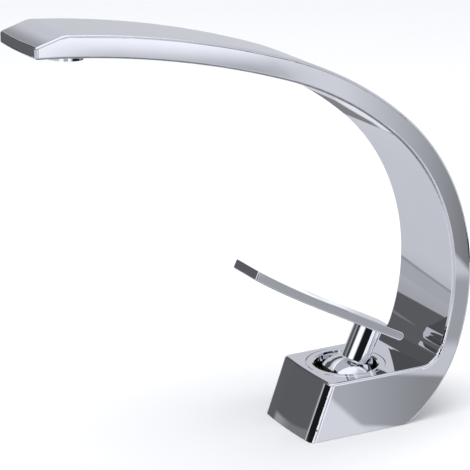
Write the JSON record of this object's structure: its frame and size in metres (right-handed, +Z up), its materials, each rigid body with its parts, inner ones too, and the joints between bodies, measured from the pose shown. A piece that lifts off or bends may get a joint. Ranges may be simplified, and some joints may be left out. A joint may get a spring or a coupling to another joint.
{
  "type": "basin faucet",
  "caption": "Single-lever basin faucet: a flat ribbon body curves back from a square base and over into a spout; a lever on a ball foot works a ceramic mixing cartridge.",
  "frame": {"origin": "on the deck plane under the cartridge axis, which is also the axis of the tap hole", "axes": "+Z up, -Y towards the basin and the spout's end, +X to the right of someone standing at the basin"},
  "size_m": [0.0472, 0.2201, 0.2064],
  "materials": {
    "chrome": "polished plating",
    "brass": "machined",
    "rubber": "moulded, matt",
    "housing_plastic": "moulded",
    "rotor_plastic": "moulded",
    "ceramic": "lapped",
    "steel": "drawn",
    "insert_plastic": "moulded"
  },
  "bodies": {
    "body": {"body_casting": "chrome", "inlet_block": "brass", "block_oring": "rubber", "base_gasket": "rubber", "cover_ring": "chrome", "cartridge_nut": "brass", "cartridge_housing": "housing_plastic", "housing_oring": "rubber", "cartridge_foot": "housing_plastic", "port_seals": "rubber", "fixed_disc": "ceramic", "aerator_cage": "chrome", "aerator_insert": "insert_plastic", "aerator_screen": "steel", "aerator_washer": "rubber"},
    "rotor": {"stem_rotor": "rotor_plastic", "stem_pin": "steel"},
    "lever": {"stem": "brass", "dome_cap": "chrome", "lever_post": "chrome", "lever_blade": "chrome", "set_screw": "steel"},
    "discs": {"moving_disc": "ceramic", "disc_driver": "rotor_plastic"}
  },
  "joints": [
    {"name": "temperature_turn", "type": "hinge", "parent": "body", "child": "rotor", "pos_m": [0, 0, 0.01652], "axis": [0, 0, 1], "range_deg": [-45, 45]},
    {"name": "lever_lift", "type": "hinge", "parent": "rotor", "child": "lever", "pos_m": [0, 0, 0.01652], "axis": [1, 0, 0], "range_deg": [0, 24.5]},
    {"name": "disc_slide", "type": "slide", "parent": "rotor", "child": "discs", "axis": [0, 1, 0], "range_m": [0, 0.00125]}
  ],
  "couplings": [
    {"joint": "disc_slide", "follows": "lever_lift", "m_per_rad": 0.0029093}
  ]
}
